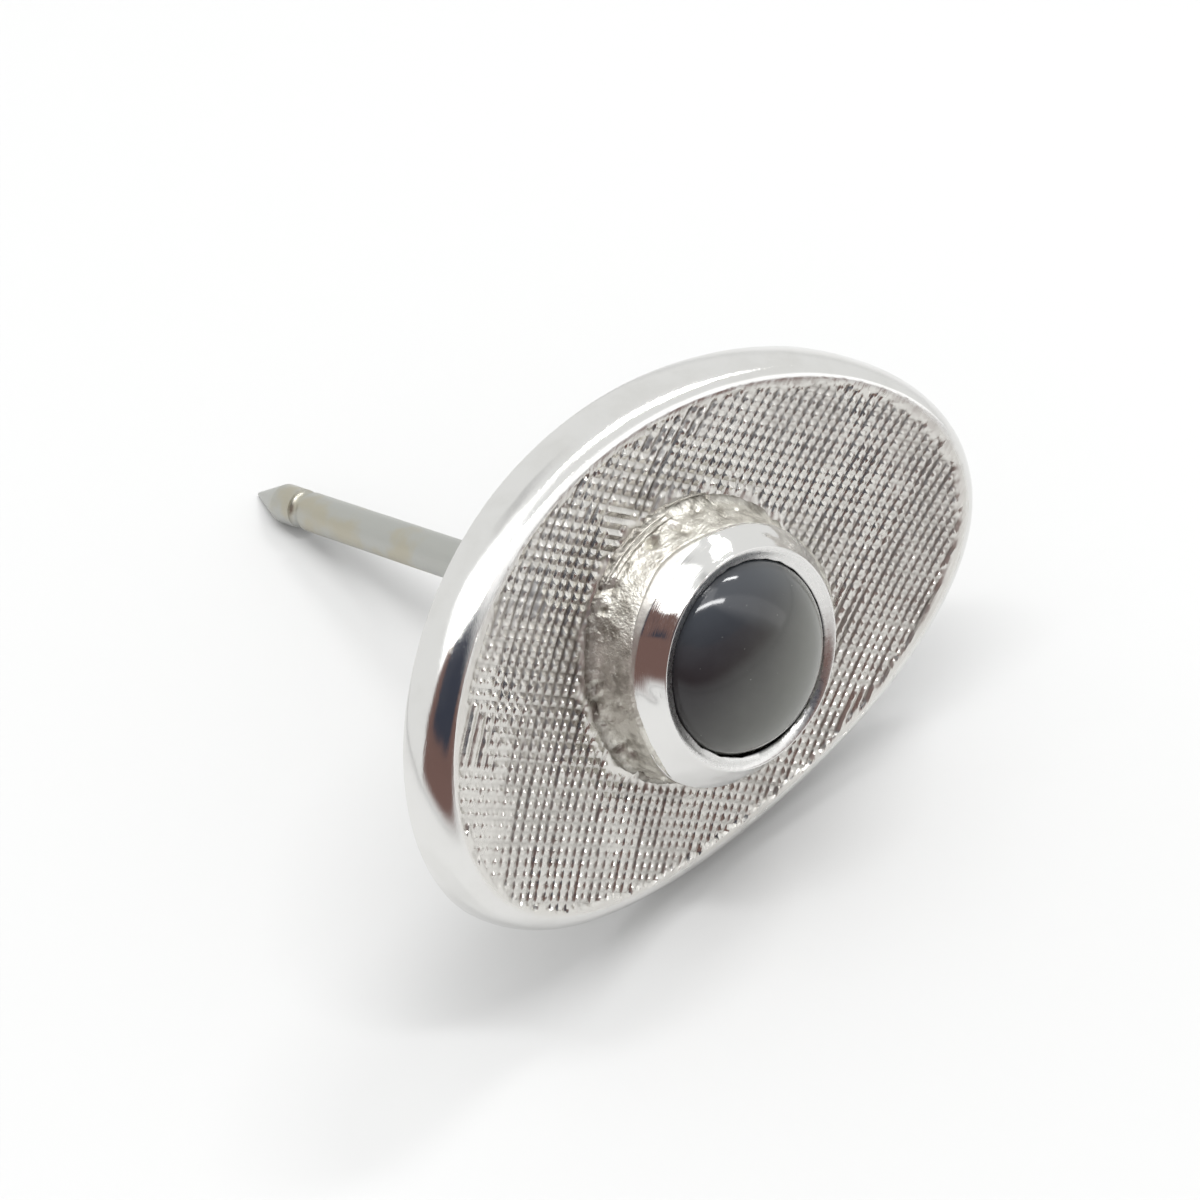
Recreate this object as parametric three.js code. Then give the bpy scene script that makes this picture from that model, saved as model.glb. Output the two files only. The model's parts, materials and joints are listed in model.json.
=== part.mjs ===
// A tie tack: an oval engraved plate, dished along its length, with a round bezel-set
// cabochon on its face and a pointed nail-like post on its back. The pieces are drawn in
// the plate's own frame, in millimetres: X along the oval, Y across it, +Z out of the face,
// with the middle of the face at the origin. The finished tack is then laid on a level
// surface the way it lies by itself, on the plate's lower edge and the tip of its post.
import * as THREE from 'three';

// Oval plate
const PLATE_LENGTH = 15.0;
const PLATE_WIDTH = 10.2;
const PLATE_THICKNESS = 1.1;
const BORDER_WIDTH = 0.52;      // polished rounded border, seen square on to the face
const BORDER_DROP = 0.97;       // how far the border falls away from the face
const RISE_ALONG_LENGTH = 0.0198;  // the face rises by this much per square mm of X
const FALL_ACROSS_WIDTH = 0.0090;  // and falls by this much per square mm of Y

// Bezel cup, a turned tube with a floor, and the stone in it
const BEZEL_RADIUS = 2.68;
const BEZEL_HEIGHT = 1.70;
const BEVEL_HEIGHT = 0.58;      // polished cone between the wall and the rim
const RIM_RADIUS = 2.27;
const RIM_LIP_WIDTH = 0.07;
const RIM_MOUTH_RADIUS = 1.975; // inner edge of the rim, pressed down on the stone
const RIM_MOUTH_DEPTH = 0.13;
const CUP_BORE_RADIUS = 2.05;
const CUP_FLOOR = 0.45;
const STONE_RADIUS = 2.0;
const STONE_BASE = 0.85;
const STONE_GIRDLE_TOP = 1.33;
const STONE_DOME_HEIGHT = 1.10;
const STONE_BASE_BEVEL = 0.12;

// Solder collar round the foot of the bezel
const COLLAR_FOOT_WIDTH = 0.24;
const COLLAR_TOP_WIDTH = 0.05;
const COLLAR_HEIGHT = 1.12;

// Post, its round pad, and the solder and weld that hold them
const PAD_RADIUS = 2.5;
const PAD_THICKNESS = 0.5;
const PAD_EDGE_BEVEL = 0.1;
const PAD_SOLDER_THICKNESS = 0.08;  // at its thinnest
const POST_RADIUS = 0.45;
const POST_REACH = 15.1;        // from the middle of the face to the tip
const POST_POINT_LENGTH = 1.15;
const POST_TIP_RADIUS = 0.05;
const GROOVE_TO_TIP = 1.95;     // ring groove that a clutch snaps into
const GROOVE_WIDTH = 0.36;
const GROOVE_DEPTH = 0.11;
const WELD_FOOT_WIDTH = 0.32;
const WELD_HEIGHT = 0.3;

// Every piece stands this far clear of its neighbours
const GAP = 0.03;

const PLATE_SIDES = 72;
const BEZEL_SIDES = 48;
const POST_SIDES = 24;
const FACE_RINGS = 6;
const BORDER_STEPS = 6;
const DOME_STEPS = 8;

const halfLength = PLATE_LENGTH / 2;
const halfWidth = PLATE_WIDTH / 2;

const silver = { metalness: 1.0 };
const finishes = {
  plate: new THREE.MeshStandardMaterial({ color: 0xc6c2bc, roughness: 0.3, ...silver }),
  bezel: new THREE.MeshStandardMaterial({ color: 0xd8d5d0, roughness: 0.12, ...silver }),
  solder: new THREE.MeshStandardMaterial({ color: 0xa9a59c, roughness: 0.6, ...silver }),
  stone: new THREE.MeshStandardMaterial({ color: 0x3f403f, roughness: 0.08, metalness: 0 }),
  cement: new THREE.MeshStandardMaterial({ color: 0x8a8069, roughness: 0.7, metalness: 0 }),
  steel: new THREE.MeshStandardMaterial({ color: 0xa5a79f, roughness: 0.38, ...silver }),
};

// Height of the curved face above its middle.
const faceHeight = (x, y) => RISE_ALONG_LENGTH * x * x - FALL_ACROSS_WIDTH * y * y;

// A closed turned body from a list of [radius, height], wound so that its faces point out.
// Half a side of turn puts a flat, not a corner, at each end of the X and Y axes.
function turned(outline, sides) {
  const points = outline.map(([radius, height]) => new THREE.Vector2(radius, height));
  const geometry = new THREE.LatheGeometry(points, sides, Math.PI / sides);
  return geometry.rotateX(Math.PI / 2);
}

// Moves the vertices that a test picks out by the height of the curved face there.
function followFace(geometry, picks) {
  const position = geometry.attributes.position;
  for (let i = 0; i < position.count; i += 1) {
    const x = position.getX(i);
    const y = position.getY(i);
    const z = position.getZ(i);
    if (picks(x, y, z)) position.setZ(i, z + faceHeight(x, y));
  }
  geometry.computeVertexNormals();
  return geometry;
}

// Stretches a round plate into the oval and keeps its border the same width all round.
function stretchToOval(geometry) {
  const position = geometry.attributes.position;
  const faceRadius = halfWidth - BORDER_WIDTH;
  for (let i = 0; i < position.count; i += 1) {
    const x = position.getX(i);
    const radius = Math.hypot(x, position.getY(i));
    if (radius > 0) {
      const stretch = (halfLength - halfWidth) * Math.min(radius / faceRadius, 1);
      position.setX(i, x + (x / radius) * stretch);
    }
  }
  return geometry;
}

function named(name, geometry, finish) {
  const mesh = new THREE.Mesh(geometry, finishes[finish]);
  mesh.name = name;
  return mesh;
}

// One stamped piece: engraved field, rounded border, square back edge.
function facePlate() {
  const faceRadius = halfWidth - BORDER_WIDTH;
  const outline = [[0, -PLATE_THICKNESS]];
  for (let ring = 1; ring <= FACE_RINGS; ring += 1) {
    outline.push([(halfWidth * ring) / FACE_RINGS, -PLATE_THICKNESS]);
  }
  for (let step = BORDER_STEPS; step >= 0; step -= 1) {
    const turn = (Math.PI / 2) * (step / BORDER_STEPS);
    outline.push([faceRadius + BORDER_WIDTH * Math.sin(turn), BORDER_DROP * (Math.cos(turn) - 1)]);
  }
  for (let ring = FACE_RINGS - 1; ring >= 0; ring -= 1) {
    outline.push([(faceRadius * ring) / FACE_RINGS, 0]);
  }
  const oval = stretchToOval(turned(outline, PLATE_SIDES));
  return named('face_plate', followFace(oval, () => true), 'plate');
}

// The cup's foot is filed to the curve of the face; its rim is bevelled outside and
// sinks towards the stone inside, with a sharp lip between the two.
function bezelCup() {
  const foot = GAP;
  const outline = [[0, foot], [BEZEL_RADIUS * 0.5, foot], [BEZEL_RADIUS, foot]];
  outline.push([BEZEL_RADIUS, BEZEL_HEIGHT - BEVEL_HEIGHT]);
  outline.push([RIM_RADIUS, BEZEL_HEIGHT]);
  outline.push([RIM_RADIUS - RIM_LIP_WIDTH, BEZEL_HEIGHT]);
  outline.push([RIM_MOUTH_RADIUS, BEZEL_HEIGHT - RIM_MOUTH_DEPTH]);
  outline.push([CUP_BORE_RADIUS, BEZEL_HEIGHT - RIM_MOUTH_DEPTH * 2]);
  outline.push([CUP_BORE_RADIUS, CUP_FLOOR]);
  outline.push([0, CUP_FLOOR]);
  const cup = turned(outline, BEZEL_SIDES);
  return named('bezel_cup', followFace(cup, (x, y, z) => z < foot + GAP / 2), 'bezel');
}

// A ring of solder: wide at the plate, thin against the bezel wall.
function bezelSolder() {
  const inner = BEZEL_RADIUS + GAP;
  const foot = GAP;
  const outline = [
    [inner, foot],
    [inner + COLLAR_FOOT_WIDTH, foot],
    [inner + COLLAR_FOOT_WIDTH * 0.85, COLLAR_HEIGHT * 0.35],
    [inner + COLLAR_FOOT_WIDTH * 0.5, COLLAR_HEIGHT * 0.75],
    [inner + COLLAR_TOP_WIDTH, COLLAR_HEIGHT],
    [inner, COLLAR_HEIGHT],
    [inner, foot],
  ];
  const ring = turned(outline, BEZEL_SIDES);
  return named('bezel_solder', followFace(ring, (x, y, z) => z < foot + GAP / 2), 'solder');
}

// The bed of cement that levels the stone in its cup.
function stoneCement() {
  const radius = CUP_BORE_RADIUS - GAP;
  const outline = [
    [0, CUP_FLOOR + GAP],
    [radius, CUP_FLOOR + GAP],
    [radius, STONE_BASE - GAP],
    [0, STONE_BASE - GAP],
  ];
  return named('stone_cement', turned(outline, BEZEL_SIDES), 'cement');
}

// A round cabochon: flat base with a small bevel, short girdle, half-ellipse dome.
function cabochon() {
  const outline = [
    [0, STONE_BASE],
    [STONE_RADIUS - STONE_BASE_BEVEL, STONE_BASE],
    [STONE_RADIUS, STONE_BASE + STONE_BASE_BEVEL],
  ];
  for (let step = 0; step < DOME_STEPS; step += 1) {
    const turn = (Math.PI / 2) * (step / DOME_STEPS);
    outline.push([STONE_RADIUS * Math.cos(turn), STONE_GIRDLE_TOP + STONE_DOME_HEIGHT * Math.sin(turn)]);
  }
  outline.push([0, STONE_GIRDLE_TOP + STONE_DOME_HEIGHT]);
  return named('cabochon', turned(outline, BEZEL_SIDES), 'stone');
}

// The back is curved and the pad is flat, so the solder between them varies in thickness.
const backLowest = -PLATE_THICKNESS - FALL_ACROSS_WIDTH * PAD_RADIUS * PAD_RADIUS;
const solderBottom = backLowest - GAP - PAD_SOLDER_THICKNESS;
const padTop = solderBottom - GAP;
const padBottom = padTop - PAD_THICKNESS;

function padSolder() {
  const radius = PAD_RADIUS - GAP;
  const top = -PLATE_THICKNESS - GAP;
  const outline = [[0, solderBottom], [radius, solderBottom], [radius, top], [radius / 2, top], [0, top]];
  const layer = turned(outline, BEZEL_SIDES);
  return named('pad_solder', followFace(layer, (x, y, z) => z > top - GAP / 2), 'solder');
}

// A disc with a hole for the post and a bevelled rear edge; its rear face meets the cloth.
function postPad() {
  const hole = POST_RADIUS + GAP;
  const outline = [
    [hole, padBottom],
    [PAD_RADIUS - PAD_EDGE_BEVEL, padBottom],
    [PAD_RADIUS, padBottom + PAD_EDGE_BEVEL],
    [PAD_RADIUS, padTop],
    [hole, padTop],
    [hole, padBottom],
  ];
  return named('post_pad', turned(outline, BEZEL_SIDES), 'steel');
}

// A nail: round shank, one ring groove, conical point.
function post() {
  const tip = -POST_REACH;
  const grooveMiddle = tip + GROOVE_TO_TIP;
  const grooveRadius = POST_RADIUS - GROOVE_DEPTH;
  const outline = [
    [0, tip],
    [POST_TIP_RADIUS, tip],
    [POST_RADIUS, tip + POST_POINT_LENGTH],
    [POST_RADIUS, grooveMiddle - GROOVE_WIDTH / 2],
    [grooveRadius, grooveMiddle - GROOVE_WIDTH / 6],
    [grooveRadius, grooveMiddle + GROOVE_WIDTH / 6],
    [POST_RADIUS, grooveMiddle + GROOVE_WIDTH / 2],
    [POST_RADIUS, padTop],
    [0, padTop],
  ];
  return named('post', turned(outline, POST_SIDES), 'steel');
}

// The bead of weld metal where the post leaves its pad.
function postWeld() {
  const inner = POST_RADIUS + GAP;
  const top = padBottom - GAP;
  const outline = [
    [inner, top - WELD_HEIGHT],
    [inner + WELD_FOOT_WIDTH * 0.3, top - WELD_HEIGHT * 0.55],
    [inner + WELD_FOOT_WIDTH, top],
    [inner, top],
    [inner, top - WELD_HEIGHT],
  ];
  return named('post_weld', turned(outline, POST_SIDES), 'solder');
}

// The tack lies on the plate's lower back edge and on the tip of the post, so the post
// slopes down by the angle between that line and the post.
function restTilt() {
  const lowerEdge = halfWidth * Math.cos(Math.PI / PLATE_SIDES);
  const edgeBehindFace = PLATE_THICKNESS - faceHeight(0, lowerEdge);
  return Math.atan2(lowerEdge - POST_TIP_RADIUS, POST_REACH - edgeBehindFace);
}

const tack = new THREE.Group();
tack.add(facePlate(), bezelCup(), bezelSolder(), stoneCement(), cabochon());
tack.add(padSolder(), postPad(), post(), postWeld());
tack.rotation.x = Math.PI / 2 - restTilt();

const tieTack = new THREE.Group();
tieTack.add(tack);
const box = new THREE.Box3().setFromObject(tieTack, true);
tack.position.set(0, -(box.min.y + box.max.y) / 2, -box.min.z);

export default tieTack;
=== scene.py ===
import json
import math
import random

import bmesh
import bpy
from mathutils import Matrix, Quaternion, Vector, noise


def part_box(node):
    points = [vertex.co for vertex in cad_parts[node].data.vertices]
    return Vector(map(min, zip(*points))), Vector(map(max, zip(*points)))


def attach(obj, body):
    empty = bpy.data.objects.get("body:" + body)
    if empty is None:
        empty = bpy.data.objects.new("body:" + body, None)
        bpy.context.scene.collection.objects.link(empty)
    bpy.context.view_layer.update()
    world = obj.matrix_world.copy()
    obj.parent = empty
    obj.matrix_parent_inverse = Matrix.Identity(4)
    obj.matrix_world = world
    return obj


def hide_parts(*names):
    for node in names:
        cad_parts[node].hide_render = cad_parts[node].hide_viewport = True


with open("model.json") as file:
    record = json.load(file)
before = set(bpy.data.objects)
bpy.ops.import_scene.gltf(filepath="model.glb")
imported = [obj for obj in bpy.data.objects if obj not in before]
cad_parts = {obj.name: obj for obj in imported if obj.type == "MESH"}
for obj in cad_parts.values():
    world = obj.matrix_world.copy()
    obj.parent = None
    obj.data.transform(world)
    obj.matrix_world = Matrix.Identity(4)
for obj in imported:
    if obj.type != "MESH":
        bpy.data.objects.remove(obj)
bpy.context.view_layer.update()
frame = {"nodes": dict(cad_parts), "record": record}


# --- How the tack lies ----------------------------------------------------------------
# A tack put down on a table rests on its plate's lower edge and on the tip of its post.
# Each piece is shaped in the plate's own frame, in millimetres, with the middle of the
# face at the origin and +Z out of it. The matrix made here then lays it down.
MM = 0.001
CEMENT_MIDDLE = 0.65  # the stone's bed, above the middle of the face

face_normal = -Vector(frame["record"]["mounts"][0]["axis"]).normalized()
bed_low, bed_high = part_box("stone_cement")
face_middle = (bed_low + bed_high) / 2 - face_normal * CEMENT_MIDDLE * MM
plate_tilt = math.atan2(-face_normal.y, face_normal.z)
lay_down = Matrix.Translation(face_middle) @ Matrix.Rotation(plate_tilt, 4, "X") @ Matrix.Scale(MM, 4)


# --- Camera ---------------------------------------------------------------------------
# A long lens close above the tack, looking at the face from its upper left.
CAMERA_AZIMUTH = math.radians(-42.1)
CAMERA_ELEVATION = math.radians(45.6)
CAMERA_ROLL = math.radians(-3.8)
CAMERA_DISTANCE = 0.07286
CAMERA_LENS = 105
CAMERA_SENSOR = 36
CAMERA_AIM = Vector((0.00064, -0.00242, 0.00352))

camera = bpy.data.objects.new("camera", bpy.data.cameras.new("camera"))
bpy.context.scene.collection.objects.link(camera)
bpy.context.scene.camera = camera
to_camera = Vector((
    math.sin(CAMERA_AZIMUTH) * math.cos(CAMERA_ELEVATION),
    -math.cos(CAMERA_AZIMUTH) * math.cos(CAMERA_ELEVATION),
    math.sin(CAMERA_ELEVATION),
))
aim_turn = to_camera.to_track_quat("Z", "Y") @ Quaternion((0, 0, 1), CAMERA_ROLL)
camera.location = CAMERA_AIM + to_camera * CAMERA_DISTANCE
camera.rotation_euler = aim_turn.to_euler()
camera.data.lens = CAMERA_LENS
camera.data.sensor_width = CAMERA_SENSOR
camera.data.clip_start = 0.001
camera.data.clip_end = 10


# --- Face plate -----------------------------------------------------------------------
# A stamped oval of plated white metal, dished along its length and a little crowned
# across it. Its border is rounded and polished. The field inside it is cut by hand with
# a liner graver in two crossing sets of lines, and lies just below the border's crest.
PLATE_LENGTH = 15.0
PLATE_WIDTH = 10.2
PLATE_THICKNESS = 1.1
BORDER_WIDTH = 0.52
BORDER_DROP = 0.97
BACK_ARRIS = 0.05
RISE_ALONG_LENGTH = 0.0198
FALL_ACROSS_WIDTH = 0.0090
CREST_TURN = 83  # where the border's round ends; the cut field meets it there at an angle
RECESS_DEPTH = 0.17
POLISHED_AWAY = 0.008  # what polishing by hand took off the border, and how unevenly
POLISH_SWAY = 0.014
POLISH_RIPPLE = 0.0035
PLATE_STEPS = 288
HAIR = 1e-3  # finer than anything cut in the plate
RIDGE_ANGLE = 24  # faces that meet at more than this are a sharp ridge

half_length = PLATE_LENGTH / 2
half_width = PLATE_WIDTH / 2
field_length = half_length - BORDER_WIDTH
field_width = half_width - BORDER_WIDTH


def arc(middle, radii, start, end, steps):
    """Points on an ellipse's arc, as (radius, height), with its angles in degrees."""
    turns = [math.radians(start + (end - start) * step / steps) for step in range(steps + 1)]
    return [(middle[0] + radii[0] * math.cos(turn), middle[1] + radii[1] * math.sin(turn))
            for turn in turns]


def turned(outline, steps):
    """Spins an outline of (radius, height) round the Z axis into a closed body."""
    body = bmesh.new()
    rim = [body.verts.new((radius, 0, height)) for radius, height in outline]
    for start, end in zip(rim, rim[1:]):
        body.edges.new((start, end))
    bmesh.ops.spin(body, geom=body.verts[:] + body.edges[:], axis=(0, 0, 1), cent=(0, 0, 0),
                   angle=2 * math.pi, steps=steps, use_merge=True, use_duplicate=False)
    bmesh.ops.remove_doubles(body, verts=body.verts, dist=1e-5)
    bmesh.ops.recalc_face_normals(body, faces=body.faces)
    return body


def piece(name, body, smooth_below=None):
    """Makes an object of a body; faces that meet at less than this angle are smooth."""
    mesh = bpy.data.meshes.new(name)
    body.to_mesh(mesh)
    body.free()
    made = bpy.data.objects.new(name, mesh)
    bpy.context.scene.collection.objects.link(made)
    if smooth_below is not None:
        mesh.shade_smooth()
        mesh.set_sharp_from_angle(angle=math.radians(smooth_below))
    return made


def finished(made, *nodes, finish, slot):
    """Lays a piece down, gives it its finish and hides the CAD nodes it stands for."""
    made.data.transform(lay_down)
    made.data.materials.clear()
    made.data.materials.append(finish.material)
    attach(made, "root")
    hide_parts(*nodes)


def within(value, low, high):
    return min(max(value, low), high)


def face_height(x, y):
    """The dish of the face: up toward the oval's ends and down toward its sides."""
    return RISE_ALONG_LENGTH * x * x - FALL_ACROSS_WIDTH * y * y


def combined(target, tool, operation):
    """Joins, cuts or trims one closed object with another, and removes the tool."""
    modifier = target.modifiers.new("combine", "BOOLEAN")
    modifier.operation = operation
    modifier.object = tool
    modifier.solver = "MANIFOLD"
    seen = target.evaluated_get(bpy.context.evaluated_depsgraph_get())
    mesh = bpy.data.meshes.new_from_object(seen)
    target.modifiers.clear()
    target.data = mesh
    bpy.data.objects.remove(tool)
    return target


def doubled_faces(body):
    """Faces that lie back to back in pairs, on the same corners."""
    body.verts.index_update()
    waiting = {}
    doubled = []
    for face in body.faces:
        corners = frozenset(vert.index for vert in face.verts)
        if corners in waiting:
            doubled += [face, waiting.pop(corners)]
        else:
            waiting[corners] = face
    return doubled


def mended(made):
    """Closes the hair-thin slivers that cutting leaves where the field meets the border."""
    body = bmesh.new()
    body.from_mesh(made.data)
    bmesh.ops.triangulate(body, faces=[face for face in body.faces if len(face.verts) > 4])
    bmesh.ops.dissolve_degenerate(body, dist=HAIR, edges=body.edges)
    bmesh.ops.remove_doubles(body, verts=body.verts, dist=HAIR / 10)
    bmesh.ops.triangulate(body, faces=body.faces)
    bmesh.ops.delete(body, geom=doubled_faces(body), context="FACES")
    body.to_mesh(made.data)
    body.free()
    return made


def stretched_to_oval(body):
    """Draws a round plate out to the oval, with a border of one width all round."""
    stretch = half_length - half_width
    for vert in body.verts:
        radius = math.hypot(vert.co.x, vert.co.y)
        if radius > 0:
            vert.co.x += vert.co.x / radius * stretch * min(radius / field_width, 1)
    return body


def plate_blank():
    """The oval before engraving: a dished blank, hollowed where the field will be."""
    arris_middle = (half_width - BACK_ARRIS, -PLATE_THICKNESS + BACK_ARRIS)
    outline = [(0, -PLATE_THICKNESS), (half_width * 0.5, -PLATE_THICKNESS)]
    outline += arc(arris_middle, (BACK_ARRIS, BACK_ARRIS), -90, 0, 4)
    outline += arc((field_width, -BORDER_DROP), (BORDER_WIDTH, BORDER_DROP), 0, CREST_TURN, 22)
    outline += [(field_width, -RECESS_DEPTH), (field_width * 0.5, -RECESS_DEPTH), (0, -RECESS_DEPTH)]
    blank = turned(outline, PLATE_STEPS)
    for vert in blank.verts:
        from_field = math.hypot(vert.co.x, vert.co.y) - field_width
        outward = Vector((vert.co.x, vert.co.y, vert.co.z + BORDER_DROP)).normalized()
        polish = POLISH_SWAY * noise.noise(vert.co * 0.55) + POLISH_RIPPLE * noise.noise(vert.co * 2.3)
        vert.co += outward * (polish - POLISHED_AWAY) * within((from_field - 0.1) / 0.15, 0, 1)
    return stretched_to_oval(blank)


# The engraved lines. Those of the first set are copies of one gently curved line, spread
# like a fan along the oval; it climbs at LINE_SLOPE in the middle and less steeply higher
# up. The second set is straight. Each line is cut a little unlike its neighbours.
LINE_SLOPE = math.radians(41.5)
LINE_CURVE = math.radians(2.7)  # per millimetre across the oval
LINE_SHIFT = 0.34
LINE_FAN = 0.010  # how much the shift grows per millimetre across the oval
CROSS_SLOPE = math.radians(-39.5)
CROSS_PITCH = 0.222
FIELD_LEVEL = -0.008
LINE_DEPTH = 0.068
CROSS_DEPTH = 0.064
LINE_SECTION = (0.0, 0.12, 0.50, 0.86, 1.0, 0.52)  # depth across one line, ridge to ridge
CROSS_SECTION = (0.0, 0.7, 1.0, 0.62)
LINE_COUNT = 58
CROSS_COUNT = 58
LINE_FORCE = (0.93, 1.05)  # each line's share of the full depth lies between these
CROSS_FORCE = (0.84, 1.0)
LINE_WANDER = 0.07  # how far each line strays from its place, as a share of the pitch
CROSS_WANDER = 0.08
LINE_START = (0.01, 0.12)  # how far inside the border each line starts, and its run-in
RUN_IN = 0.05
FIELD_GRAIN = 0.008
FIELD_FLOOR = -0.45
FIELD_UNDER_BORDER = 0.066  # the cut field ends this far under the border's round
COLLAR_REACH = 2.85  # solder has run into the lines this far from the middle


def line_offset(y):
    """How far along X the first set's curve has moved at a height across the oval."""
    start = math.log(math.sin(LINE_SLOPE))
    return (start - math.log(math.sin(LINE_SLOPE - LINE_CURVE * y))) / LINE_CURVE


def crossing(line, cross):
    """Where a line of the first set meets one of the second, in the plate's frame."""
    run, climb = math.sin(-CROSS_SLOPE), math.cos(CROSS_SLOPE)
    y = 0.0
    for _ in range(6):
        x = line * (LINE_SHIFT + LINE_FAN * y) + line_offset(y)
        slant = line * LINE_FAN + 1 / math.tan(LINE_SLOPE - LINE_CURVE * y)
        y -= (run * x + climb * y - cross * CROSS_PITCH) / (run * slant + climb)
    return line * (LINE_SHIFT + LINE_FAN * y) + line_offset(y), y


def patchy(x, y, size, seed):
    """Smooth random value from about -1 to 1, in patches of about this size."""
    return noise.noise(Vector((x / size, y / size, seed)))


def shallow_end(x, y):
    """A share of the depth: the lines at the plate's left end are cut more lightly."""
    return within((x - 0.45 * y + 7.1 + 0.5 * patchy(x, y, 1.2, 4.4)) / 1.6, 0.66, 1)


def clear_of_solder(x, y):
    """A share of the depth: solder fills most of each line round the collar."""
    from_collar = math.hypot(x, y) - COLLAR_REACH
    return within((from_collar + 0.3 * patchy(x, y, 0.5, 5.5)) / 0.25, 0.1, 1)


def clear_of_skip(x, y):
    """A share of the depth: the graver skipped in one spot beyond the bezel."""
    from_spot = math.hypot(x + 0.7, y - 3.0)
    return within(from_spot / 0.5 - 0.4 + 0.4 * patchy(x, y, 0.3, 6.6), 0.15, 1)


def left_uncut(x, y, cross):
    """The share of a second line's depth that was left out: in some patches, most of it."""
    patch = patchy(x, y, 1.7, 3.3) + 0.3 * patchy(x, y, 0.5, 8.1 + cross)
    return within((patch - 0.2) / 0.25, 0, 0.8)


def engraved_sheet():
    """The cut field as a closed slab whose grid follows both sets of lines."""
    hand = random.Random(11)
    line_force = [hand.uniform(*LINE_FORCE) for _ in range(LINE_COUNT + 1)]
    cross_force = [hand.uniform(*CROSS_FORCE) for _ in range(CROSS_COUNT + 1)]
    line_wander = [hand.uniform(-LINE_WANDER, LINE_WANDER) for _ in range(LINE_COUNT + 1)]
    cross_wander = [hand.uniform(-CROSS_WANDER, CROSS_WANDER) for _ in range(CROSS_COUNT + 1)]
    line_start = [hand.uniform(*LINE_START) for _ in range(LINE_COUNT + 1)]
    columns = LINE_COUNT * len(LINE_SECTION)
    rows = CROSS_COUNT * len(CROSS_SECTION)
    sheet = bmesh.new()
    bmesh.ops.create_grid(sheet, x_segments=columns, y_segments=rows, size=1)
    for vert in sheet.verts:
        line, line_phase = divmod(round((vert.co.x + 1) / 2 * columns), len(LINE_SECTION))
        cross, cross_phase = divmod(round((vert.co.y + 1) / 2 * rows), len(CROSS_SECTION))
        along = line + line_phase / len(LINE_SECTION) + line_wander[line]
        across = cross + cross_phase / len(CROSS_SECTION) + cross_wander[cross]
        x, y = crossing(along - LINE_COUNT / 2, across - CROSS_COUNT / 2)
        inside = (1 - math.hypot(x / field_length, y / field_width)) * field_width
        begun = within((inside - line_start[line]) / RUN_IN, 0, 1)
        light = shallow_end(x, y)
        line_cut = line_force[line] * (0.98 + 0.22 * patchy(x, y, 0.8, line * 1.7)) * clear_of_skip(x, y)
        cross_cut = cross_force[cross] * (1 - left_uncut(x, y, cross))
        deeper = max(LINE_SECTION[line_phase] * line_cut * light * LINE_DEPTH,
                     CROSS_SECTION[cross_phase] * cross_cut * light ** 0.4 * CROSS_DEPTH)
        depth = deeper * begun * clear_of_solder(x, y)
        vert.co = (x, y, FIELD_LEVEL - depth + FIELD_GRAIN * patchy(x, y, 0.25, 1.1))
    edges = [edge for edge in sheet.edges if edge.is_boundary]
    skirt = bmesh.ops.extrude_edge_only(sheet, edges=edges)["geom"]
    for vert in skirt:
        if isinstance(vert, bmesh.types.BMVert):
            vert.co.z = FIELD_FLOOR
    hem = [edge for edge in skirt if isinstance(edge, bmesh.types.BMEdge) and edge.is_boundary]
    bmesh.ops.contextual_create(sheet, geom=hem)
    bmesh.ops.recalc_face_normals(sheet, faces=sheet.faces)
    return sheet


def field_cutter():
    """An upright oval block, taller than the slab, that trims it under the border's crest."""
    reach = field_width + FIELD_UNDER_BORDER
    return stretched_to_oval(turned([(0, -1), (reach, -1), (reach, 1), (0, 1)], PLATE_STEPS))


class Wire:
    """One output of a finish's node; arithmetic on it adds Math nodes."""

    def __init__(self, finish, socket):
        self.finish = finish
        self.socket = socket

    def output(self, name):
        return Wire(self.finish, self.socket.node.outputs[name])

    def math(self, operation, *terms):
        return self.finish.node("ShaderNodeMath", {"operation": operation}, dict(enumerate(terms)))

    def __add__(self, other):
        return self.math("ADD", self, other)

    def __sub__(self, other):
        return self.math("SUBTRACT", self, other)

    def __rsub__(self, other):
        return self.math("SUBTRACT", other, self)

    def __mul__(self, other):
        return self.math("MULTIPLY", self, other)

    def __truediv__(self, other):
        return self.math("DIVIDE", self, other)

    def __pow__(self, other):
        return self.math("POWER", self, other)

    __radd__ = __add__
    __rmul__ = __mul__

    def over(self, low, high):
        """0 below low, 1 above high, and a smooth step between them; low may be the higher."""
        inputs = {"Value": self, "From Min": low, "From Max": high}
        return self.finish.node("ShaderNodeMapRange", {"interpolation_type": "SMOOTHSTEP"}, inputs)


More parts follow.
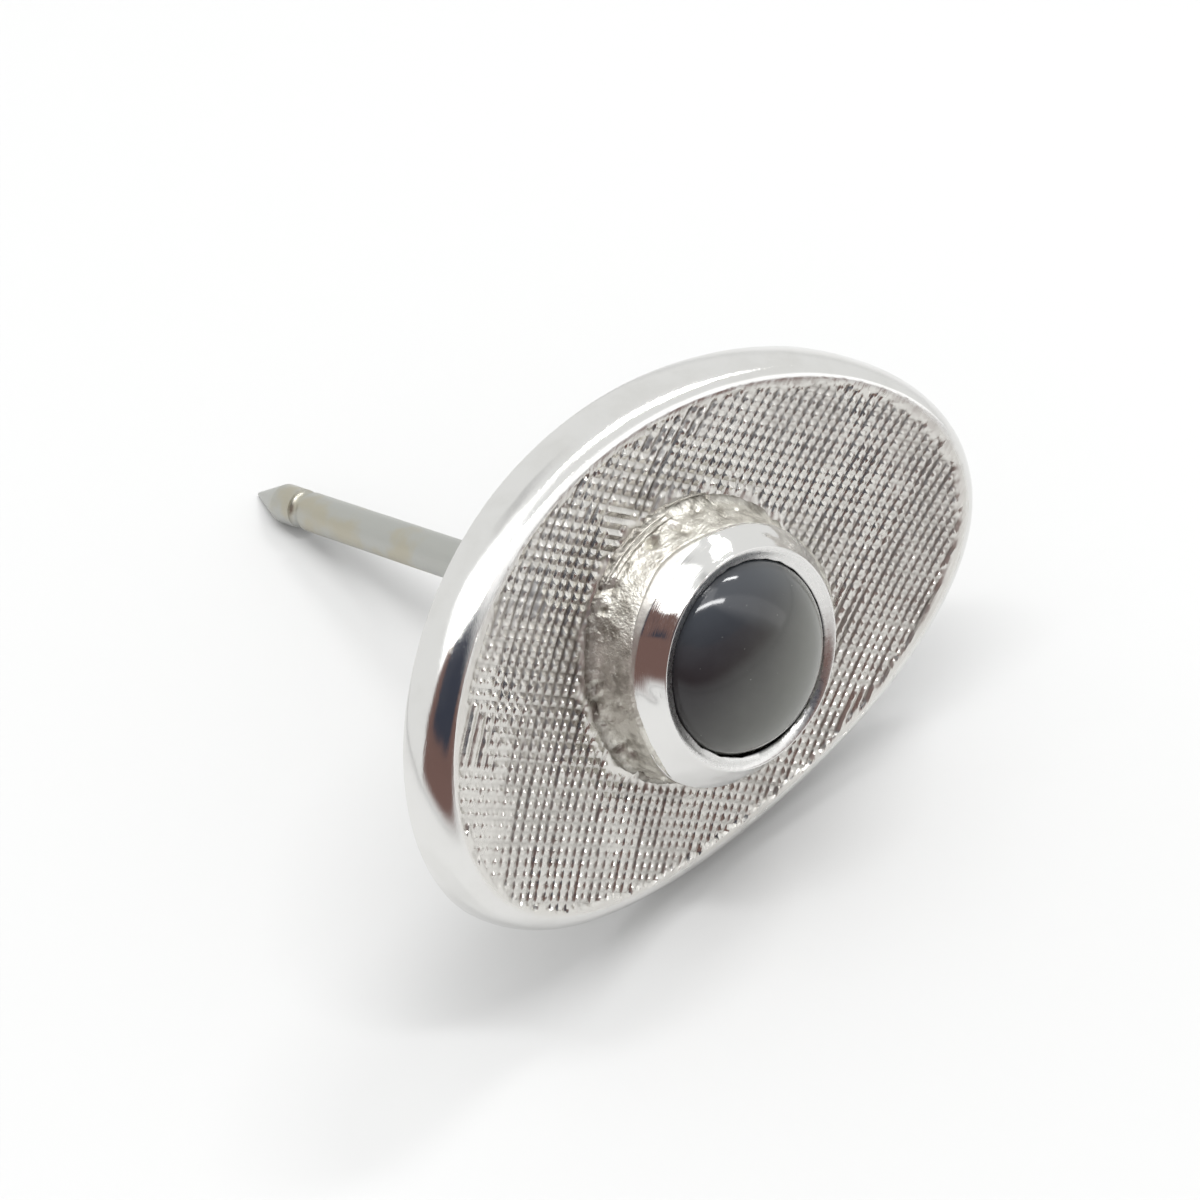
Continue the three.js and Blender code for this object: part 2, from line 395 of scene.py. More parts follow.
class Finish:
    """A material, with the coordinates of the plate's frame in millimetres."""

    def __init__(self, name):
        self.material = bpy.data.materials.new(name)
        self.material.use_nodes = True
        self.material.node_tree.nodes.clear()
        lie = {"Location": face_middle, "Rotation": (plate_tilt, 0, 0), "Scale": (MM, MM, MM)}
        place = self.node("ShaderNodeTexCoord").output("Object")
        self.place = self.node("ShaderNodeMapping", {"vector_type": "TEXTURE"}, {"Vector": place, **lie})
        parts = self.node("ShaderNodeSeparateXYZ", {}, {0: self.place})
        self.x, self.y, self.z = (parts.output(axis) for axis in "XYZ")

    def node(self, kind, settings=None, inputs=None):
        """Adds a node with its settings, and the values or links of its sockets."""
        made = self.material.node_tree.nodes.new(kind)
        for name, value in (settings or {}).items():
            setattr(made, name, value)
        for name, value in (inputs or {}).items():
            if isinstance(value, Wire):
                self.material.node_tree.links.new(value.socket, made.inputs[name])
            else:
                made.inputs[name].default_value = value
        return Wire(self, made.outputs[0] if made.outputs else None)

    def grain(self, scale, detail=2.0, stretch=(1, 1, 1), turn=0.0):
        """Smooth random values from 0 to 1, of this many waves per millimetre.

        Stretch makes the waves finer along the axes, which are first turned about Z."""
        size = tuple(1 / times for times in stretch)
        spread = {"Vector": self.place, "Scale": size, "Rotation": (0, 0, turn)}
        place = self.node("ShaderNodeMapping", {"vector_type": "TEXTURE"}, spread)
        return self.node("ShaderNodeTexNoise", {}, {"Vector": place, "Scale": scale, "Detail": detail})

    def mixed(self, share, first, second):
        """The first colour, giving way to the second as the share goes to 1."""
        made = self.node("ShaderNodeMix", {"data_type": "RGBA"}, {0: share, 6: first, 7: second})
        return Wire(self, made.socket.node.outputs[2])

    def bump(self, height, distance):
        """A normal from a height that varies by 1, raised by this many millimetres."""
        inputs = {"Height": height, "Distance": distance * MM, "Strength": 1.0}
        return self.node("ShaderNodeBump", {}, inputs)

    def surface(self, **inputs):
        """The finished surface, from the Principled shader's inputs by name."""
        named = {name.replace("_", " "): value for name, value in inputs.items()}
        shader = self.node("ShaderNodeBsdfPrincipled", {}, named)
        self.node("ShaderNodeOutputMaterial", {}, {"Surface": shader})
        return self


POLISHED = (0.775, 0.77, 0.755, 1)
WORN = (0.64, 0.63, 0.60, 1)
ENGRAVED = (0.73, 0.715, 0.68, 1)
TARNISH = (0.095, 0.078, 0.062, 1)
BACK_OF_PLATE = (0.60, 0.59, 0.56, 1)
GRAIN_HEIGHT = 0.006  # the relief of polishing marks


def plate_finish():
    """Bright plating: polished border, cut field with tarnish in the lines, satin back."""
    finish = Finish("engraved_plating")
    x, y, z = finish.x, finish.y, finish.z
    depth = z - x * x * RISE_ALONG_LENGTH + y * y * FALL_ACROSS_WIDTH
    oval = (x / field_length) ** 2 + (y / field_width) ** 2
    field = oval.over(1.03, 0.99) * depth.over(-0.3, -0.2)
    back = depth.over(-PLATE_THICKNESS + 0.03, -PLATE_THICKNESS + 0.01)
    deep = depth.over(FIELD_LEVEL - 0.025, FIELD_LEVEL - 0.076)
    blotch = finish.grain(0.5, 3).over(0.35, 0.65)
    from_bezel = ((x + 0.4) ** 2 + (y - 0.3) ** 2) ** 0.5
    soiled = deep * (0.16 + 0.34 * blotch + 0.3 * from_bezel.over(3.7, 3.0)) * field
    worn = finish.grain(1.3, 4).over(0.4, 0.75)
    metal = finish.mixed(worn * 0.3, POLISHED, WORN)
    metal = finish.mixed(field, metal, ENGRAVED)
    metal = finish.mixed(soiled, metal, TARNISH)
    metal = finish.mixed(back, metal, BACK_OF_PLATE)
    metal = finish.mixed(back * blotch * 0.16, metal, TARNISH)
    smear = finish.grain(3, 3, (1, 7, 1), 0.6)
    rough = 0.05 + 0.08 * smear + 0.04 * worn
    rough += field * (0.14 + 0.14 * blotch) + back * (0.12 + 0.14 * blotch)
    scratches = finish.grain(5, 4, (1, 22, 1), 0.9) * 0.5 + finish.grain(6, 3, (18, 1, 1), -0.4) * 0.5
    fine = finish.grain(14, 4)
    liner_marks = finish.grain(1, 3, (0.8, 13, 1), LINE_SLOPE)
    brushed = finish.grain(1, 4, (1.2, 24, 1), 0.12)
    height = scratches * (1 - field) * 0.4 + fine * (field + back * 0.6) * 0.5
    height += liner_marks * field * 1.8 + brushed * back * 1.1
    return finish.surface(Base_Color=metal, Metallic=1.0, Roughness=rough,
                          Normal=finish.bump(height, GRAIN_HEIGHT))


blank = piece("face_plate_metal", plate_blank())
slab = combined(piece("engraving", engraved_sheet()), piece("cutter", field_cutter()), "INTERSECT")
face_plate = mended(combined(blank, slab, "UNION"))
for corner in face_plate.data.vertices:
    corner.co.z += face_height(corner.co.x, corner.co.y)
face_plate.data.shade_smooth()
face_plate.data.set_sharp_from_angle(angle=math.radians(RIDGE_ANGLE))
finished(face_plate, "face_plate", finish=plate_finish(), slot="engraved_silver")


# --- Bezel cup ------------------------------------------------------------------------
# A turned cup soldered to the middle of the face. Its rim was pushed over the stone with
# a burnisher, which left a polished cone outside, a thin bright lip, and a hollow ring
# inside that sinks to a slightly ragged edge against the stone.
WALL_RADIUS = 2.68
BEZEL_HEIGHT = 1.70
CONE_HEIGHT = 0.58
CONE_FOOT = (  # the burnished cone is uneven: direction, radius and height of its foot
    (-15, 2.65, 1.20), (40, 2.63, 1.20), (76, 2.60, 1.20), (108, 2.58, 0.87), (129, 2.58, 0.94),
    (152, 2.58, 1.00), (185, 2.63, 1.08), (215, 2.77, 1.14), (260, 2.67, 1.19), (345, 2.65, 1.20))
CONE_RUN = 0.39
CONE_RISE = 0.53
CONE_STEPS = 12
FOOT_ROUND = 0.06
WALL_INSET = 0.03  # the wall under the cone is this much smaller
CUP_BOTTOM = -0.1  # the cup and its solder start below the middle of the dished face
RIM_RADIUS = 2.27
LIP_RADIUS = 0.03
MOUTH_RADIUS = 1.97
MOUTH_DEPTH = 0.14
MOUTH_ROUND = 0.03
RIM_SWAY = 0.010
MOUTH_RAGGED = 0.035
HAMMER_MARKS = 0.022
OPEN_GAP = 0.10  # the rim stands off the stone a little on one side
OPEN_SIDE = Vector((0.47, -0.88, 0))
CUP_BORE = 2.06
CUP_FLOOR = 0.45
BEZEL_STEPS = 256
MATT_WALL = (0.66, 0.64, 0.58, 1)
# Near black: painted shade of the gap between the rim and the stone, with some dirt in it.
GAP_SHADE_AND_DIRT = (0.02, 0.02, 0.025, 1)


def foot_shift(spot):
    """How far the cone's foot is out of true here, as (radius, height)."""
    turn = (math.degrees(math.atan2(spot.y, spot.x)) + 15) % 360 - 15
    for before, after in zip(CONE_FOOT, CONE_FOOT[1:]):
        if before[0] <= turn <= after[0]:
            share = 0.5 - 0.5 * math.cos((turn - before[0]) / (after[0] - before[0]) * math.pi)
            foot = Vector(before[1:]).lerp(Vector(after[1:]), share)
    return foot - Vector((WALL_RADIUS, BEZEL_HEIGHT - CONE_HEIGHT))


def bezel_shell():
    wall = WALL_RADIUS - WALL_INSET
    cone_foot = BEZEL_HEIGHT - CONE_HEIGHT
    lip_middle = (RIM_RADIUS - LIP_RADIUS, BEZEL_HEIGHT - LIP_RADIUS)
    mouth_middle = (MOUTH_RADIUS + MOUTH_ROUND, BEZEL_HEIGHT - MOUTH_DEPTH - 0.02)
    outline = [(0, CUP_BOTTOM), (WALL_RADIUS * 0.6, CUP_BOTTOM), (wall, CUP_BOTTOM), (wall, 0.6)]
    outline += arc((WALL_RADIUS - FOOT_ROUND, cone_foot - 0.02), (FOOT_ROUND, FOOT_ROUND), 0, 30, 4)
    for step in range(1, CONE_STEPS):
        share = step / CONE_STEPS
        outline.append((WALL_RADIUS - 0.01 - CONE_RUN * share, cone_foot + 0.01 + CONE_RISE * share))
    outline += arc(lip_middle, (LIP_RADIUS, LIP_RADIUS), 25, 110, 5)
    outline += [(RIM_RADIUS - 0.15, BEZEL_HEIGHT - 0.055)]
    outline += arc(mouth_middle, (MOUTH_ROUND, MOUTH_ROUND), 80, 180, 4)
    outline += [(CUP_BORE, BEZEL_HEIGHT - MOUTH_DEPTH - 0.12), (CUP_BORE, CUP_FLOOR), (0, CUP_FLOOR)]
    shell = turned(outline, BEZEL_STEPS)
    for vert in shell.verts:
        spot = Vector(vert.co)
        radius = math.hypot(spot.x, spot.y)
        outward = Vector((spot.x, spot.y, 0)).normalized()
        if spot.z > CUP_FLOOR + 0.1:
            ragged = max(0, 1 - abs(radius - MOUTH_RADIUS) / 0.06)
            hem = within((MOUTH_RADIUS + 0.12 - radius) / 0.12, 0, 1)
            sway = RIM_SWAY * noise.noise(outward * 1.6)
            sway += MOUTH_RAGGED * ragged * noise.noise(outward * 9 + Vector((0, 0, 2.5)))
            sway += OPEN_GAP * hem * max(0, outward.dot(OPEN_SIDE)) ** 2
            vert.co += outward * sway
        if radius > RIM_RADIUS - 0.01:
            fall = within((BEZEL_HEIGHT - spot.z) / CONE_HEIGHT, 0, 1)
            shift = foot_shift(spot) * fall
            hammered = HAMMER_MARKS * math.sin(fall * math.pi) * noise.noise(spot * 2.6)
            vert.co += outward * (shift.x + hammered)
            vert.co.z += shift.y * within(spot.z, 0, 1)
    return shell


def bezel_finish():
    """Polished cone, satin ring, and a near-black band inside the mouth, widest on the open side: painted
    shade of the gap to the stone, with some dirt. The wall under the cone is matt.
    """
    finish = Finish("bezel_plating")
    cone_foot = BEZEL_HEIGHT - CONE_HEIGHT
    wall = finish.z.over(cone_foot + 0.02, cone_foot - 0.05)
    radius = (finish.x ** 2 + finish.y ** 2) ** 0.5
    ring = radius.over(RIM_RADIUS - 0.02, RIM_RADIUS - 0.06) * finish.z.over(1.4, 1.5)
    streaks = finish.grain(3, 4, (1, 1, 14))
    grit = finish.grain(9, 4)
    # Painted shade: the mouth is coloured near black, reaching farther out on the open side, for the
    # shade of the gap to the stone, with some dirt in it.
    side = ((finish.x * OPEN_SIDE.x + finish.y * OPEN_SIDE.y) / MOUTH_RADIUS).over(0.1, 1.0)
    gap_shade_and_dirt = (radius - side * (OPEN_GAP - 0.01)).over(MOUTH_RADIUS + 0.03, MOUTH_RADIUS - 0.02)
    metal = finish.mixed(wall * 0.6, POLISHED, MATT_WALL)
    metal = finish.mixed(gap_shade_and_dirt, metal, GAP_SHADE_AND_DIRT)
    rough = 0.05 + 0.06 * streaks + ring * (0.13 + 0.14 * grit) + wall * 0.32
    height = streaks * 0.3 + grit * (ring * 0.7 + wall * 1.6)
    return finish.surface(Base_Color=metal, Metallic=1.0, Roughness=rough,
                          Normal=finish.bump(height, GRAIN_HEIGHT))


bezel_cup = piece("bezel_cup_metal", bezel_shell(), 40)
finished(bezel_cup, "bezel_cup", finish=bezel_finish(), slot="polished_silver")


# --- Solder collar --------------------------------------------------------------------
# Hard solder that ran round the foot of the bezel and was never cleaned up: a dull,
# grainy skin on the wall, thick and lumpy at the plate, with pits and a raised edge.
COLLAR_INNER = 2.3
COLLAR_TOP = 1.14
COLLAR_WALL = 2.66
FILLET_MIDDLE = (2.97, 0.5)
FILLET_RADII = (0.21, 0.44)
COLLAR_FOOT = 2.98
COLLAR_STEPS = 360
SEAM_RADIUS = 0.022
COLLAR_SEAMS = (  # radius, height, first direction and sweep
    (2.90, 0.10, 86, 38), (2.82, 0.17, 84, 36), (2.99, 0.03, 64, 20))
FROZEN_BRIGHT = (0.80, 0.785, 0.725, 1)
FROZEN_DULL = (0.42, 0.40, 0.355, 1)


def solder_collar():
    outline = [(COLLAR_INNER, CUP_BOTTOM), (COLLAR_INNER, COLLAR_TOP), (COLLAR_WALL - 0.11, COLLAR_TOP)]
    outline += [(COLLAR_WALL + 0.011 * step, COLLAR_TOP - 0.02 - 0.07 * step) for step in range(1, 9)]
    outline += arc(FILLET_MIDDLE, FILLET_RADII, 182, 262, 9)
    outline += [(COLLAR_FOOT - 0.01, -0.02), (COLLAR_FOOT, CUP_BOTTOM), (COLLAR_INNER, CUP_BOTTOM)]
    collar = turned(outline, COLLAR_STEPS)
    for vert in collar.verts:
        spot = Vector(vert.co)
        outward = Vector((spot.x, spot.y, 0)).normalized()
        if math.hypot(spot.x, spot.y) > COLLAR_INNER + 0.03:
            lump = 0.04 * noise.noise(spot * 1.9) + 0.024 * noise.noise(spot * 5.5 + Vector((3, 1, 4)))
            lump += 0.02 * noise.noise(spot * 13)
            pit = 0.4 * max(0, noise.noise(spot * 3.6 + Vector((9, 9, 9))) - 0.3)
            push = (lump - pit) * within((COLLAR_TOP - 0.2 - spot.z) / 0.5, 0.08, 1)
            shift = foot_shift(spot) * within(spot.z / COLLAR_TOP, 0, 1)
            vert.co += outward * (push + shift.x) + Vector((0, 0, push * 0.6 + shift.y))
        vert.co.z += face_height(vert.co.x, vert.co.y)
    for seam in COLLAR_SEAMS:
        collar_seam(collar, *seam)
    return collar


def collar_seam(collar, radius, height, start, sweep):
    """A thin raised line of solder along part of the collar's foot, in degrees."""
    ring = bmesh.ops.create_circle(collar, cap_ends=True, radius=SEAM_RADIUS, segments=10)["verts"]
    turn = Matrix.Rotation(math.radians(start), 4, "Z") @ Matrix.Translation((radius, 0, height))
    bmesh.ops.transform(collar, matrix=turn @ Matrix.Rotation(math.radians(90), 4, "X"), verts=ring)
    faces = {face for vert in ring for face in vert.link_faces}
    edges = {edge for face in faces for edge in face.edges}
    cap = bmesh.ops.duplicate(collar, geom=list(faces) + list(edges) + ring)["geom"]
    bmesh.ops.spin(collar, geom=cap, axis=(0, 0, 1), cent=(0, 0, 0), angle=math.radians(sweep), steps=30,
                   use_merge=False, use_duplicate=False)
    bmesh.ops.remove_doubles(collar, verts=collar.verts, dist=1e-6)
    bmesh.ops.recalc_face_normals(collar, faces=collar.faces)


def solder_finish(name, colour):
    """Grey solder as it froze: grainy, with bright specks and dull hollows."""
    finish = Finish(name)
    coarse = finish.grain(3.2, 4)
    fine = finish.grain(17, 5)
    height = finish.z - finish.x ** 2 * RISE_ALONG_LENGTH + finish.y ** 2 * FALL_ACROSS_WIDTH
    foot = height.over(0.2, 0.02) * height.over(-0.3, -0.2)
    metal = finish.mixed(coarse.over(0.3, 0.6), FROZEN_DULL, colour)
    metal = finish.mixed(foot * 0.6, metal, TARNISH)
    rough = 0.26 + 0.30 * fine
    return finish.surface(Base_Color=metal, Metallic=1.0, Roughness=rough,
                          Normal=finish.bump(coarse * 0.5 + fine, 0.026))


collar_solder = solder_finish("collar_solder", FROZEN_BRIGHT)
collar_skin = piece("bezel_solder_skin", solder_collar(), 50)
finished(collar_skin, "bezel_solder", finish=collar_solder, slot="solder")


# --- Cement ---------------------------------------------------------------------------
# The bed of setting cement under the stone, shut inside the cup.
CEMENT_DARK = (0.50, 0.46, 0.37, 1)
CEMENT_PALE = (0.60, 0.56, 0.46, 1)

cement = Finish("setting_cement")
cement_grain = cement.grain(8, 4)
cement.surface(Base_Color=cement.mixed(cement_grain, CEMENT_DARK, CEMENT_PALE),
               Roughness=0.6 + 0.2 * cement_grain, Normal=cement.bump(cement_grain, 0.02))
stone_bed = frame["nodes"]["stone_cement"]
stone_bed.data.materials.clear()
stone_bed.data.materials.append(cement.material)


# --- Cabochon -------------------------------------------------------------------------
# A round low-domed stone, near black with a faint brown cast, polished to a high gloss.
# A pale grey-green cast is painted into the side of the dome that faces down the plate: partly the
# stone's own chatoyance, partly a painted reflection of the pale table and walls. A painted blue-grey
# reflection of a bluish window lies toward the top.
STONE_RADIUS = 1.99
STONE_BASE = 0.85
STONE_GIRDLE_TOP = 1.33
STONE_ARRIS = 0.12
DOME_HEIGHT = 1.10
STONE_STEPS = 192
STONE_BLACK = (0.017, 0.015, 0.017, 1)
# Pale grey-green: partly the stone's own chatoyance, partly a painted reflection of the pale table and
# walls.
STONE_SHEEN_AND_REFLECTION = (0.18, 0.184, 0.166, 1)
# Blue-grey: a painted reflection of a bluish window, toward the top of the dome.
STONE_BLUE_REFLECTION = (0.062, 0.07, 0.082, 1)
PALE_SPECK = (0.4, 0.4, 0.38, 1)


def stone_body():
    outline = [(0, STONE_BASE), (STONE_RADIUS - STONE_ARRIS, STONE_BASE)]
    outline += [(STONE_RADIUS, STONE_BASE + STONE_ARRIS)]
    outline += arc((0, STONE_GIRDLE_TOP), (STONE_RADIUS, DOME_HEIGHT), 0, 90, 40)
    return turned(outline, STONE_STEPS)


def stone_finish():
    """Glossy near-black stone. Painted into its colour: a pale grey-green reflection, partly the stone's
    own chatoyance, on the side that across runs toward, and a blue-grey reflection toward the top.
    """
    finish = Finish("dark_cabochon")
    across = (finish.x * 0.62 - finish.y * 0.78) / STONE_RADIUS
    cloud = finish.grain(0.7, 3) - 0.5
    # Painted reflection: the side of the dome facing down the plate is lightened, partly for the stone's
    # chatoyance and partly for the pale table and walls it mirrors.
    sheen_and_reflection = (across + cloud * 0.4).over(-0.8, 1.0)
    body = finish.mixed(sheen_and_reflection, STONE_BLACK, STONE_SHEEN_AND_REFLECTION)
    # Painted reflection: a blue-grey tint toward the top of the dome, for a bluish window it mirrors.
    blue_reflection = (finish.y + cloud).over(0.3, 1.9)
    body = finish.mixed(blue_reflection * 0.6, body, STONE_BLUE_REFLECTION)
    speck = finish.grain(16, 2).over(0.765, 0.80)
    body = finish.mixed(speck, body, PALE_SPECK)
    return finish.surface(Base_Color=body, Roughness=0.10, IOR=1.5)


stone = piece("cabochon_stone", stone_body(), 30)
finished(stone, "cabochon", finish=stone_finish(), slot="stone")


# --- Post pad and its solder ----------------------------------------------------------
# A stock steel finding: a round pad with a hole for the post, soldered flat to the back.
PAD_RADIUS = 2.5
PAD_THICKNESS = 0.5
PAD_BEVEL = 0.1
PAD_ARRIS = 0.04
THIN_SOLDER = 0.14  # between the pad and the lowest part of the curved back
PAD_TOP = -PLATE_THICKNESS - FALL_ACROSS_WIDTH * PAD_RADIUS ** 2 - THIN_SOLDER
PAD_REAR = PAD_TOP - PAD_THICKNESS
SOLDER_LAP = 0.02  # how far the solder runs into the pad and the plate
POST_RADIUS = 0.45
HOLE_CLEARANCE = 0.03
PAD_STEPS = 160
STEEL = (0.46, 0.465, 0.44, 1)
YELLOWED_STEEL = (0.46, 0.435, 0.355, 1)
PAD_SOLDER_GREY = (0.66, 0.64, 0.58, 1)


def pad_body():
    hole = POST_RADIUS + HOLE_CLEARANCE
    outline = [(hole, PAD_TOP), (hole, PAD_REAR)]
    outline += arc((PAD_RADIUS - PAD_BEVEL, PAD_REAR + PAD_BEVEL), (PAD_BEVEL, PAD_BEVEL), -90, 0, 6)
    outline += arc((PAD_RADIUS - PAD_ARRIS, PAD_TOP - PAD_ARRIS), (PAD_ARRIS, PAD_ARRIS), 0, 90, 3)
    outline += [(hole, PAD_TOP)]
    return turned(outline, PAD_STEPS)


def pad_solder_body():
    solder_top = -PLATE_THICKNESS + SOLDER_LAP
    outline = [(0, PAD_TOP - SOLDER_LAP), (PAD_RADIUS - 0.12, PAD_TOP - SOLDER_LAP)]
    outline += [(PAD_RADIUS + 0.01, PAD_TOP + SOLDER_LAP), (PAD_RADIUS + 0.06, solder_top)]
    outline += [(0, solder_top)]
    layer = turned(outline, PAD_STEPS)
    for vert in layer.verts:
        radius = math.hypot(vert.co.x, vert.co.y)
        if vert.co.z > -PLATE_THICKNESS:
            vert.co.z += face_height(vert.co.x, vert.co.y)
        if radius > PAD_RADIUS - 0.2:
            swell = 1 + 0.02 * noise.noise(Vector(vert.co) * 1.7)
            vert.co.x *= swell
            vert.co.y *= swell
    return layer


def steel_finish():
    """Dull nickel-plated steel with turning and drawing marks, yellowed in places."""
    finish = Finish("dull_steel")
    radius = (finish.x ** 2 + finish.y ** 2) ** 0.5
    rings = {"W": radius * 9, "Scale": 1.0, "Detail": 3.0}
    turning = finish.node("ShaderNodeTexNoise", {"noise_dimensions": "1D"}, rings)
    drawing = finish.grain(2, 4, (9, 9, 0.5))
    stain = finish.grain(0.9, 3).over(0.48, 0.66)
    metal = finish.mixed(stain, STEEL, YELLOWED_STEEL)
    rough = 0.30 + 0.16 * drawing
    return finish.surface(Base_Color=metal, Metallic=1.0, Roughness=rough,
                          Normal=finish.bump(turning * 0.7 + drawing * 0.6, 0.008))


steel = steel_finish()
finished(piece("post_pad_disc", pad_body(), 30), "post_pad", finish=steel, slot="steel")
pad_solder = solder_finish("pad_solder_metal", PAD_SOLDER_GREY)
solder_layer = piece("pad_solder_layer", pad_solder_body(), 30)
finished(solder_layer, "pad_solder", finish=pad_solder, slot="solder")


# --- Post -----------------------------------------------------------------------------
# A nail of drawn steel wire, welded into the pad, with a ground point and one ring
# groove near it for the clutch that holds the tack on.
POST_REACH = 15.1
POINT_LENGTH = 1.15
POINT_SHOULDER = (0.06, 0.16)
TIP_RADIUS = 0.05
GROOVE_TO_TIP = 1.95
GROOVE_WIDTH = 0.36
GROOVE_DEPTH = 0.11
SHANK_STEP = 0.3
POST_STEPS = 96


def post_body():
    tip = -POST_REACH
    groove = tip + GROOVE_TO_TIP
    outline = arc((0, tip + TIP_RADIUS), (TIP_RADIUS, TIP_RADIUS), -90, -20, 5)
    outline += arc((POST_RADIUS - POINT_SHOULDER[0], tip + POINT_LENGTH), POINT_SHOULDER, -20, 0, 4)
    outline += arc((POST_RADIUS, groove), (GROOVE_DEPTH, GROOVE_WIDTH / 2), -90, -270, 12)
    outline += [(POST_RADIUS, groove + SHANK_STEP * step) for step in range(2, 38)]
    outline += [(POST_RADIUS, PAD_TOP), (0, PAD_TOP)]
    return turned(outline, POST_STEPS)


finished(piece("post_nail", post_body(), 30), "post", finish=steel, slot="steel")


# --- Weld -----------------------------------------------------------------------------
# The bead of weld metal round the root of the post, where it leaves its pad. It runs a
# little into both, and nobody smoothed it.
WELD_WIDTH = 0.32
WELD_HEIGHT = 0.3
WELD_LAP = 0.02
WELD_INNER = POST_RADIUS - 0.03
WELD_GREY = (0.58, 0.57, 0.53, 1)


def weld_body():
    outer = POST_RADIUS + WELD_WIDTH
    hollow = (WELD_WIDTH, WELD_HEIGHT - WELD_LAP)
    outline = [(WELD_INNER, PAD_REAR + WELD_LAP), (WELD_INNER, PAD_REAR - WELD_HEIGHT)]
    outline += arc((outer, PAD_REAR - WELD_HEIGHT), hollow, 180, 95, 10)
    outline += [(outer, PAD_REAR + WELD_LAP), (WELD_INNER, PAD_REAR + WELD_LAP)]
    bead = turned(outline, POST_STEPS)
    for vert in bead.verts:
        radius = math.hypot(vert.co.x, vert.co.y)
        if radius > POST_RADIUS:
            push = 0.06 * noise.noise(Vector(vert.co) * 3.1) + 0.02 * noise.noise(Vector(vert.co) * 9)
            vert.co.x += push * vert.co.x / radius
            vert.co.y += push * vert.co.y / radius
    return bead


weld_metal = solder_finish("weld_metal", WELD_GREY)
finished(piece("post_weld_bead", weld_body(), 40), "post_weld", finish=weld_metal, slot="solder")


# --- Table, light and surroundings ----------------------------------------------------
# A white table in a light room, under a large soft window and two tube lamps. The screens
# stand in for what the metal mirrors besides: someone in dark clothes leaning over it from
# the front left, a brighter strip beside them, and a dim corner behind.
SKIN = Vector((0.20, 0.122, 0.108))
CLOTH = Vector((0.05, 0.056, 0.078))
WALL = Vector((0.92, 0.92, 0.92))
WINDOW = Vector((1.45, 1.45, 1.45))
TABLE_WHITE = (0.615, 0.615, 0.615, 1)
ROOM_LIGHT = (0.90, 0.905, 0.90, 1)
TABLE_HALF = 1.5
SCREEN_DISTANCE = 0.25  # nearer than the window, farther than the tubes
WINDOW_DISTANCE = 0.27
TUBE_DISTANCE = 0.22
TUBE_WIDTH = 0.017


def toward(azimuth, elevation):
    """A direction by its degrees to the right of the front, and above the table."""
    azimuth, elevation = math.radians(azimuth), math.radians(elevation)
    flat = math.cos(elevation)
    return Vector((math.sin(azimuth) * flat, -math.cos(azimuth) * flat, math.sin(elevation)))


def person_edges(elevation):
    """The azimuths between which the person is seen at a height."""
    return -108 - 0.25 * elevation, 42 - 0.42 * elevation


def person_tone(azimuth, elevation, across):
    """Brown low down and at the left edge, dark blue above; it fades at the right and below."""
    waist = 43 - 0.2 * max(azimuth + 60, 0) + 0.14 * min(azimuth + 60, 0)
    cloth = within((elevation - waist) / 3, 0, 1) * within((across - 0.095) / 0.03, 0, 1)
    clear = max(within((across - 0.94) / 0.06, 0, 1), within(1 - (elevation - 1) / 10, 0, 1))
    return SKIN.lerp(CLOTH, cloth).lerp(WALL, clear)


def strip_edges(elevation):
    right = person_edges(elevation)[1]
    return right, right + 10 + 0.35 * elevation


def strip_tone(_azimuth, _elevation, across):
    return WALL.lerp(WINDOW, within(math.sin(across * math.pi) * 2, 0, 1))


def corner_edges(_elevation):
    return 150, 172


def corner_tone(_azimuth, _elevation, across):
    return WALL * (1 - 0.38 * math.sin(across * math.pi))


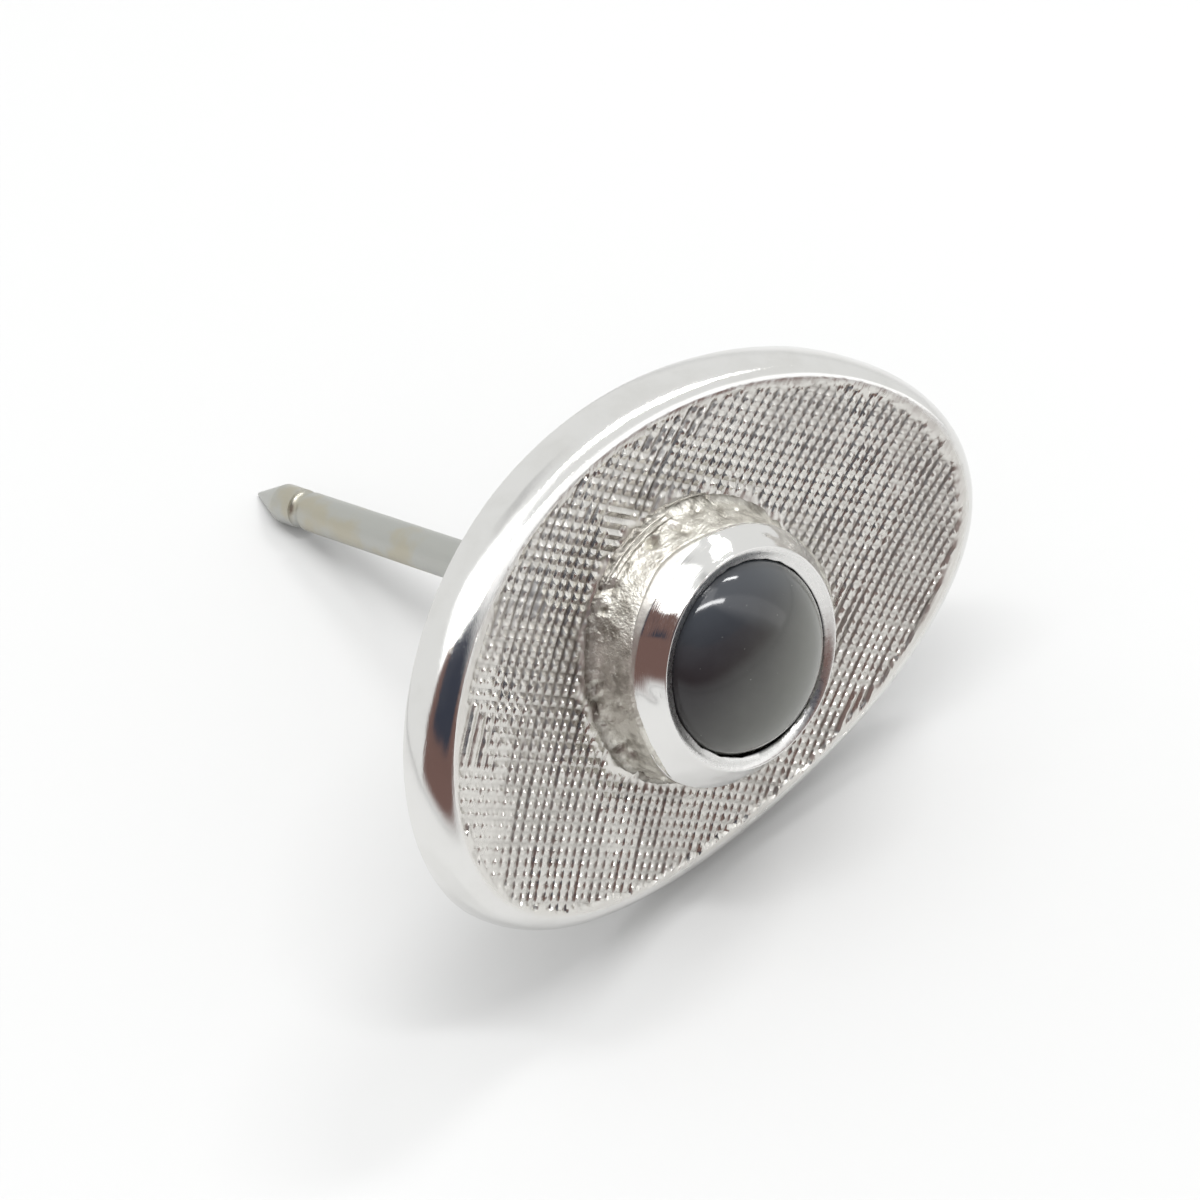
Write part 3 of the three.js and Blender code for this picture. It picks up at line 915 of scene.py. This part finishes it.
def mirrored_screen(name, edges, low, high, tone):
    """A curved screen that only the tack's mirrors see, between two elevations."""
    body = bmesh.new()
    tones = body.verts.layers.float_color.new("tone")
    bmesh.ops.create_grid(body, x_segments=60, y_segments=40, size=0.5)
    for vert in body.verts:
        across, up = vert.co.x + 0.5, vert.co.y + 0.5
        elevation = low + (high - low) * up
        left, right = edges(elevation)
        azimuth = left + (right - left) * across
        vert[tones] = (*tone(azimuth, elevation, across), 1)
        vert.co = toward(azimuth, elevation) * SCREEN_DISTANCE
    made = piece(name, body)
    finish = Finish(name)
    colour = finish.node("ShaderNodeAttribute", {"attribute_name": "tone"})
    glow = finish.node("ShaderNodeEmission", {}, {"Color": colour})
    finish.node("ShaderNodeOutputMaterial", {}, {"Surface": glow})
    made.data.materials.append(finish.material)
    made.visible_camera = made.visible_diffuse = made.visible_shadow = False


table_body = bmesh.new()
bmesh.ops.create_grid(table_body, x_segments=1, y_segments=1, size=TABLE_HALF)
table = piece("table_top", table_body)
table_white = Finish("table_white").surface(Base_Color=TABLE_WHITE, Roughness=0.9, Specular_IOR_Level=0.1)
table.data.materials.append(table_white.material)

mirrored_screen("person_in_dark", person_edges, 1, 80, person_tone)
mirrored_screen("side_window", strip_edges, 3, 74, strip_tone)
mirrored_screen("dim_corner", corner_edges, 50, 63, corner_tone)


def lamp(name, distance, start, end, width, radiance):
    """A soft rectangular light between two (azimuth, elevation) directions."""
    start, end = toward(*start) * distance, toward(*end) * distance
    middle = (start + end) / 2
    outward = middle.normalized()
    along = (end - start).normalized()
    data = bpy.data.lights.new(name, "AREA")
    data.shape = "RECTANGLE"
    data.size, data.size_y = (end - start).length, width
    data.energy = radiance * math.pi * data.size * data.size_y
    made = bpy.data.objects.new(name, data)
    turn = Matrix((along, outward.cross(along), outward)).transposed().to_4x4()
    made.matrix_world = Matrix.Translation(middle) @ turn
    bpy.context.scene.collection.objects.link(made)


lamp("overhead_window", WINDOW_DISTANCE, (-136, 53), (44, 82), 0.16, 1.5)
lamp("near_tube", TUBE_DISTANCE, (-124, 70), (32, 64), TUBE_WIDTH, 19)
lamp("far_tube", TUBE_DISTANCE, (114, 61), (91, 51), TUBE_WIDTH, 24)

room = bpy.data.worlds.new("light_room")
bpy.context.scene.world = room
room.use_nodes = True
room.node_tree.nodes["Background"].inputs["Color"].default_value = ROOM_LIGHT
room.node_tree.nodes["Background"].inputs["Strength"].default_value = 1.01
bpy.context.scene.view_settings.view_transform = "Standard"
